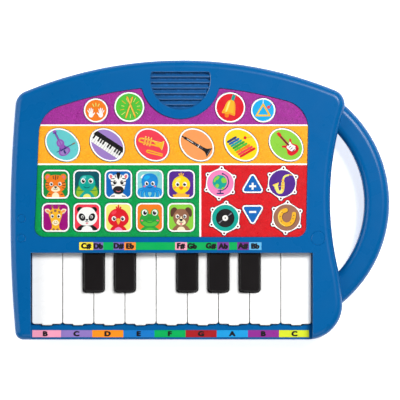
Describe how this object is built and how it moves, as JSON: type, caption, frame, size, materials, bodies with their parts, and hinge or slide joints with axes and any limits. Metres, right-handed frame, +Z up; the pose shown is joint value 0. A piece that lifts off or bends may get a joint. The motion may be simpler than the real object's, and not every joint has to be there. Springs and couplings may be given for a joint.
{
  "type": "toy electronic keyboard",
  "caption": "Flat toy keyboard with hinged piano keys at the front, a panel of picture push buttons, a round speaker grille and an arched carrying handle on its right side.",
  "frame": {"origin": "centre of the footprint, on the plane that the rubber feet stand on", "axes": "+X to the player's right along the keyboard, +Y away from the player, +Z up out of the button face"},
  "size_m": [0.292, 0.2152, 0.034],
  "materials": {
    "casing_blue": "satin moulded ABS",
    "printed_sheet": "printed sheet: magenta, orange, green and red areas",
    "label_green": "printed sheet with coloured blocks",
    "circuit_board": "solder mask",
    "silicone": "silicone rubber",
    "inner_grey": "moulded",
    "steel": "plated",
    "speaker_metal": "dark frame and paper cone",
    "cell_can": null,
    "spring_nickel": "nickel plated",
    "foot_rubber": "moulded",
    "knob_black": "moulded",
    "key_white": "satin moulded ABS",
    "key_black": "satin moulded ABS",
    "picture_clap": "white cap with a printed picture on this ground colour",
    "picture_sticks": "white cap with a printed picture on this ground colour",
    "picture_bell": "white cap with a printed picture on this ground colour",
    "picture_triangle": "white cap with a printed picture on this ground colour",
    "picture_violin": "white cap with a printed picture on this ground colour",
    "picture_piano": "white cap with a printed picture on this ground colour",
    "picture_trumpet": "white cap with a printed picture on this ground colour",
    "picture_clarinet": "white cap with a printed picture on this ground colour",
    "picture_xylophone": "white cap with a printed picture on this ground colour",
    "picture_guitar": "white cap with a printed picture on this ground colour",
    "picture_tiger": "white cap with a printed picture on this ground colour",
    "picture_turtle": "white cap with a printed picture on this ground colour",
    "picture_zebra": "white cap with a printed picture on this ground colour",
    "picture_octopus": "white cap with a printed picture on this ground colour",
    "picture_chick": "white cap with a printed picture on this ground colour",
    "picture_giraffe": "white cap with a printed picture on this ground colour",
    "picture_panda": "white cap with a printed picture on this ground colour",
    "picture_robin": "white cap with a printed picture on this ground colour",
    "picture_frog": "white cap with a printed picture on this ground colour",
    "picture_puppy": "white cap with a printed picture on this ground colour",
    "picture_globe": "white cap with a printed picture on this ground colour",
    "picture_saxophone": "white cap with a printed picture on this ground colour",
    "picture_record": "white cap with a printed picture on this ground colour",
    "picture_horseshoe": "white cap with a printed picture on this ground colour",
    "picture_volume_up": "white cap with a printed picture on this ground colour",
    "picture_volume_down": "white cap with a printed picture on this ground colour"
  },
  "bodies": {
    "casing": {"front_casing": "casing_blue", "rear_casing": "casing_blue", "handle_front_shell": "casing_blue", "handle_rear_shell": "casing_blue", "artwork_panel": "printed_sheet", "note_label_strips": "label_green", "button_circuit_board": "circuit_board", "button_contact_mat": "silicone", "key_bed": "inner_grey", "key_pivot_rod": "steel", "key_circuit_board": "circuit_board", "key_contact_mat": "silicone", "speaker_driver": "speaker_metal", "battery_cells": "cell_can", "battery_contacts": "spring_nickel", "casing_screws": "steel", "rubber_feet": "foot_rubber"},
    "white_key_b3": {"white_key_b3": "key_white"},
    "white_key_c4": {"white_key_c4": "key_white"},
    "white_key_d4": {"white_key_d4": "key_white"},
    "white_key_e4": {"white_key_e4": "key_white"},
    "white_key_f4": {"white_key_f4": "key_white"},
    "white_key_g4": {"white_key_g4": "key_white"},
    "white_key_a4": {"white_key_a4": "key_white"},
    "white_key_b4": {"white_key_b4": "key_white"},
    "white_key_c5": {"white_key_c5": "key_white"},
    "black_key_cs4": {"black_key_cs4": "key_black"},
    "black_key_ds4": {"black_key_ds4": "key_black"},
    "black_key_fs4": {"black_key_fs4": "key_black"},
    "black_key_gs4": {"black_key_gs4": "key_black"},
    "black_key_as4": {"black_key_as4": "key_black"},
    "button_clap": {"button_clap": "picture_clap"},
    "button_sticks": {"button_sticks": "picture_sticks"},
    "button_bell": {"button_bell": "picture_bell"},
    "button_triangle": {"button_triangle": "picture_triangle"},
    "button_violin": {"button_violin": "picture_violin"},
    "button_piano": {"button_piano": "picture_piano"},
    "button_trumpet": {"button_trumpet": "picture_trumpet"},
    "button_clarinet": {"button_clarinet": "picture_clarinet"},
    "button_xylophone": {"button_xylophone": "picture_xylophone"},
    "button_guitar": {"button_guitar": "picture_guitar"},
    "button_tiger": {"button_tiger": "picture_tiger"},
    "button_turtle": {"button_turtle": "picture_turtle"},
    "button_zebra": {"button_zebra": "picture_zebra"},
    "button_octopus": {"button_octopus": "picture_octopus"},
    "button_chick": {"button_chick": "picture_chick"},
    "button_giraffe": {"button_giraffe": "picture_giraffe"},
    "button_panda": {"button_panda": "picture_panda"},
    "button_robin": {"button_robin": "picture_robin"},
    "button_frog": {"button_frog": "picture_frog"},
    "button_puppy": {"button_puppy": "picture_puppy"},
    "button_globe": {"button_globe": "picture_globe"},
    "button_saxophone": {"button_saxophone": "picture_saxophone"},
    "button_record": {"button_record": "picture_record"},
    "button_horseshoe": {"button_horseshoe": "picture_horseshoe"},
    "button_volume_up": {"button_volume_up": "picture_volume_up"},
    "button_volume_down": {"button_volume_down": "picture_volume_down"},
    "power_switch": {"power_switch_knob": "knob_black"},
    "battery_door": {"battery_door": "casing_blue", "battery_door_screw": "steel"}
  },
  "joints": [
    {"name": "white_key_b3_hinge", "type": "hinge", "parent": "casing", "child": "white_key_b3", "pos_m": [-0.0218, -0.031, 0.0215], "axis": [1, 0, 0], "range_deg": [0, 3.5], "stiffness_Nm_per_rad": 1, "springref_deg": -1.15, "deforming": ["key_contact_mat"]},
    {"name": "white_key_c4_hinge", "type": "hinge", "parent": "casing", "child": "white_key_c4", "pos_m": [-0.0218, -0.031, 0.0215], "axis": [1, 0, 0], "range_deg": [0, 3.5], "stiffness_Nm_per_rad": 1, "springref_deg": -1.15, "deforming": ["key_contact_mat"]},
    {"name": "white_key_d4_hinge", "type": "hinge", "parent": "casing", "child": "white_key_d4", "pos_m": [-0.0218, -0.031, 0.0215], "axis": [1, 0, 0], "range_deg": [0, 3.5], "stiffness_Nm_per_rad": 1, "springref_deg": -1.15, "deforming": ["key_contact_mat"]},
    {"name": "white_key_e4_hinge", "type": "hinge", "parent": "casing", "child": "white_key_e4", "pos_m": [-0.0218, -0.031, 0.0215], "axis": [1, 0, 0], "range_deg": [0, 3.5], "stiffness_Nm_per_rad": 1, "springref_deg": -1.15, "deforming": ["key_contact_mat"]},
    {"name": "white_key_f4_hinge", "type": "hinge", "parent": "casing", "child": "white_key_f4", "pos_m": [-0.0218, -0.031, 0.0215], "axis": [1, 0, 0], "range_deg": [0, 3.5], "stiffness_Nm_per_rad": 1, "springref_deg": -1.15, "deforming": ["key_contact_mat"]},
    {"name": "white_key_g4_hinge", "type": "hinge", "parent": "casing", "child": "white_key_g4", "pos_m": [-0.0218, -0.031, 0.0215], "axis": [1, 0, 0], "range_deg": [0, 3.5], "stiffness_Nm_per_rad": 1, "springref_deg": -1.15, "deforming": ["key_contact_mat"]},
    {"name": "white_key_a4_hinge", "type": "hinge", "parent": "casing", "child": "white_key_a4", "pos_m": [-0.0218, -0.031, 0.0215], "axis": [1, 0, 0], "range_deg": [0, 3.5], "stiffness_Nm_per_rad": 1, "springref_deg": -1.15, "deforming": ["key_contact_mat"]},
    {"name": "white_key_b4_hinge", "type": "hinge", "parent": "casing", "child": "white_key_b4", "pos_m": [-0.0218, -0.031, 0.0215], "axis": [1, 0, 0], "range_deg": [0, 3.5], "stiffness_Nm_per_rad": 1, "springref_deg": -1.15, "deforming": ["key_contact_mat"]},
    {"name": "white_key_c5_hinge", "type": "hinge", "parent": "casing", "child": "white_key_c5", "pos_m": [-0.0218, -0.031, 0.0215], "axis": [1, 0, 0], "range_deg": [0, 3.5], "stiffness_Nm_per_rad": 1, "springref_deg": -1.15, "deforming": ["key_contact_mat"]},
    {"name": "black_key_cs4_hinge", "type": "hinge", "parent": "casing", "child": "black_key_cs4", "pos_m": [-0.0218, -0.031, 0.0215], "axis": [1, 0, 0], "range_deg": [0, 4.5], "stiffness_Nm_per_rad": 1, "springref_deg": -1.15, "deforming": ["key_contact_mat"]},
    {"name": "black_key_ds4_hinge", "type": "hinge", "parent": "casing", "child": "black_key_ds4", "pos_m": [-0.0218, -0.031, 0.0215], "axis": [1, 0, 0], "range_deg": [0, 4.5], "stiffness_Nm_per_rad": 1, "springref_deg": -1.15, "deforming": ["key_contact_mat"]},
    {"name": "black_key_fs4_hinge", "type": "hinge", "parent": "casing", "child": "black_key_fs4", "pos_m": [-0.0218, -0.031, 0.0215], "axis": [1, 0, 0], "range_deg": [0, 4.5], "stiffness_Nm_per_rad": 1, "springref_deg": -1.15, "deforming": ["key_contact_mat"]},
    {"name": "black_key_gs4_hinge", "type": "hinge", "parent": "casing", "child": "black_key_gs4", "pos_m": [-0.0218, -0.031, 0.0215], "axis": [1, 0, 0], "range_deg": [0, 4.5], "stiffness_Nm_per_rad": 1, "springref_deg": -1.15, "deforming": ["key_contact_mat"]},
    {"name": "black_key_as4_hinge", "type": "hinge", "parent": "casing", "child": "black_key_as4", "pos_m": [-0.0218, -0.031, 0.0215], "axis": [1, 0, 0], "range_deg": [0, 4.5], "stiffness_Nm_per_rad": 1, "springref_deg": -1.15, "deforming": ["key_contact_mat"]},
    {"name": "button_clap_press", "type": "slide", "parent": "casing", "child": "button_clap", "axis": [0, 0, -1], "range_m": [0, 0.0011], "stiffness_N_per_m": 1000, "springref_m": -0.0004, "deforming": ["button_contact_mat"]},
    {"name": "button_sticks_press", "type": "slide", "parent": "casing", "child": "button_sticks", "axis": [0, 0, -1], "range_m": [0, 0.0011], "stiffness_N_per_m": 1000, "springref_m": -0.0004, "deforming": ["button_contact_mat"]},
    {"name": "button_bell_press", "type": "slide", "parent": "casing", "child": "button_bell", "axis": [0, 0, -1], "range_m": [0, 0.0011], "stiffness_N_per_m": 1000, "springref_m": -0.0004, "deforming": ["button_contact_mat"]},
    {"name": "button_triangle_press", "type": "slide", "parent": "casing", "child": "button_triangle", "axis": [0, 0, -1], "range_m": [0, 0.0011], "stiffness_N_per_m": 1000, "springref_m": -0.0004, "deforming": ["button_contact_mat"]},
    {"name": "button_violin_press", "type": "slide", "parent": "casing", "child": "button_violin", "axis": [0, 0, -1], "range_m": [0, 0.0011], "stiffness_N_per_m": 1000, "springref_m": -0.0004, "deforming": ["button_contact_mat"]},
    {"name": "button_piano_press", "type": "slide", "parent": "casing", "child": "button_piano", "axis": [0, 0, -1], "range_m": [0, 0.0011], "stiffness_N_per_m": 1000, "springref_m": -0.0004, "deforming": ["button_contact_mat"]},
    {"name": "button_trumpet_press", "type": "slide", "parent": "casing", "child": "button_trumpet", "axis": [0, 0, -1], "range_m": [0, 0.0011], "stiffness_N_per_m": 1000, "springref_m": -0.0004, "deforming": ["button_contact_mat"]},
    {"name": "button_clarinet_press", "type": "slide", "parent": "casing", "child": "button_clarinet", "axis": [0, 0, -1], "range_m": [0, 0.0011], "stiffness_N_per_m": 1000, "springref_m": -0.0004, "deforming": ["button_contact_mat"]},
    {"name": "button_xylophone_press", "type": "slide", "parent": "casing", "child": "button_xylophone", "axis": [0, 0, -1], "range_m": [0, 0.0011], "stiffness_N_per_m": 1000, "springref_m": -0.0004, "deforming": ["button_contact_mat"]},
    {"name": "button_guitar_press", "type": "slide", "parent": "casing", "child": "button_guitar", "axis": [0, 0, -1], "range_m": [0, 0.0011], "stiffness_N_per_m": 1000, "springref_m": -0.0004, "deforming": ["button_contact_mat"]},
    {"name": "button_tiger_press", "type": "slide", "parent": "casing", "child": "button_tiger", "axis": [0, 0, -1], "range_m": [0, 0.0011], "stiffness_N_per_m": 1000, "springref_m": -0.0004, "deforming": ["button_contact_mat"]},
    {"name": "button_turtle_press", "type": "slide", "parent": "casing", "child": "button_turtle", "axis": [0, 0, -1], "range_m": [0, 0.0011], "stiffness_N_per_m": 1000, "springref_m": -0.0004, "deforming": ["button_contact_mat"]},
    {"name": "button_zebra_press", "type": "slide", "parent": "casing", "child": "button_zebra", "axis": [0, 0, -1], "range_m": [0, 0.0011], "stiffness_N_per_m": 1000, "springref_m": -0.0004, "deforming": ["button_contact_mat"]},
    {"name": "button_octopus_press", "type": "slide", "parent": "casing", "child": "button_octopus", "axis": [0, 0, -1], "range_m": [0, 0.0011], "stiffness_N_per_m": 1000, "springref_m": -0.0004, "deforming": ["button_contact_mat"]},
    {"name": "button_chick_press", "type": "slide", "parent": "casing", "child": "button_chick", "axis": [0, 0, -1], "range_m": [0, 0.0011], "stiffness_N_per_m": 1000, "springref_m": -0.0004, "deforming": ["button_contact_mat"]},
    {"name": "button_giraffe_press", "type": "slide", "parent": "casing", "child": "button_giraffe", "axis": [0, 0, -1], "range_m": [0, 0.0011], "stiffness_N_per_m": 1000, "springref_m": -0.0004, "deforming": ["button_contact_mat"]},
    {"name": "button_panda_press", "type": "slide", "parent": "casing", "child": "button_panda", "axis": [0, 0, -1], "range_m": [0, 0.0011], "stiffness_N_per_m": 1000, "springref_m": -0.0004, "deforming": ["button_contact_mat"]},
    {"name": "button_robin_press", "type": "slide", "parent": "casing", "child": "button_robin", "axis": [0, 0, -1], "range_m": [0, 0.0011], "stiffness_N_per_m": 1000, "springref_m": -0.0004, "deforming": ["button_contact_mat"]},
    {"name": "button_frog_press", "type": "slide", "parent": "casing", "child": "button_frog", "axis": [0, 0, -1], "range_m": [0, 0.0011], "stiffness_N_per_m": 1000, "springref_m": -0.0004, "deforming": ["button_contact_mat"]},
    {"name": "button_puppy_press", "type": "slide", "parent": "casing", "child": "button_puppy", "axis": [0, 0, -1], "range_m": [0, 0.0011], "stiffness_N_per_m": 1000, "springref_m": -0.0004, "deforming": ["button_contact_mat"]},
    {"name": "button_globe_press", "type": "slide", "parent": "casing", "child": "button_globe", "axis": [0, 0, -1], "range_m": [0, 0.0011], "stiffness_N_per_m": 1000, "springref_m": -0.0004, "deforming": ["button_contact_mat"]},
    {"name": "button_saxophone_press", "type": "slide", "parent": "casing", "child": "button_saxophone", "axis": [0, 0, -1], "range_m": [0, 0.0011], "stiffness_N_per_m": 1000, "springref_m": -0.0004, "deforming": ["button_contact_mat"]},
    {"name": "button_record_press", "type": "slide", "parent": "casing", "child": "button_record", "axis": [0, 0, -1], "range_m": [0, 0.0011], "stiffness_N_per_m": 1000, "springref_m": -0.0004, "deforming": ["button_contact_mat"]},
    {"name": "button_horseshoe_press", "type": "slide", "parent": "casing", "child": "button_horseshoe", "axis": [0, 0, -1], "range_m": [0, 0.0011], "stiffness_N_per_m": 1000, "springref_m": -0.0004, "deforming": ["button_contact_mat"]},
    {"name": "button_volume_up_press", "type": "slide", "parent": "casing", "child": "button_volume_up", "axis": [0, 0, -1], "range_m": [0, 0.0011], "stiffness_N_per_m": 1000, "springref_m": -0.0004, "deforming": ["button_contact_mat"]},
    {"name": "button_volume_down_press", "type": "slide", "parent": "casing", "child": "button_volume_down", "axis": [0, 0, -1], "range_m": [0, 0.0011], "stiffness_N_per_m": 1000, "springref_m": -0.0004, "deforming": ["button_contact_mat"]},
    {"name": "power_switch_slide", "type": "slide", "parent": "casing", "child": "power_switch", "axis": [1, 0, 0], "range_m": [0, 0.004]},
    {"name": "battery_door_hinge", "type": "hinge", "parent": "casing", "child": "battery_door", "pos_m": [-0.017, 0.0042, 0.0026], "axis": [-1, 0, 0], "range_deg": [0, 100]}
  ]
}
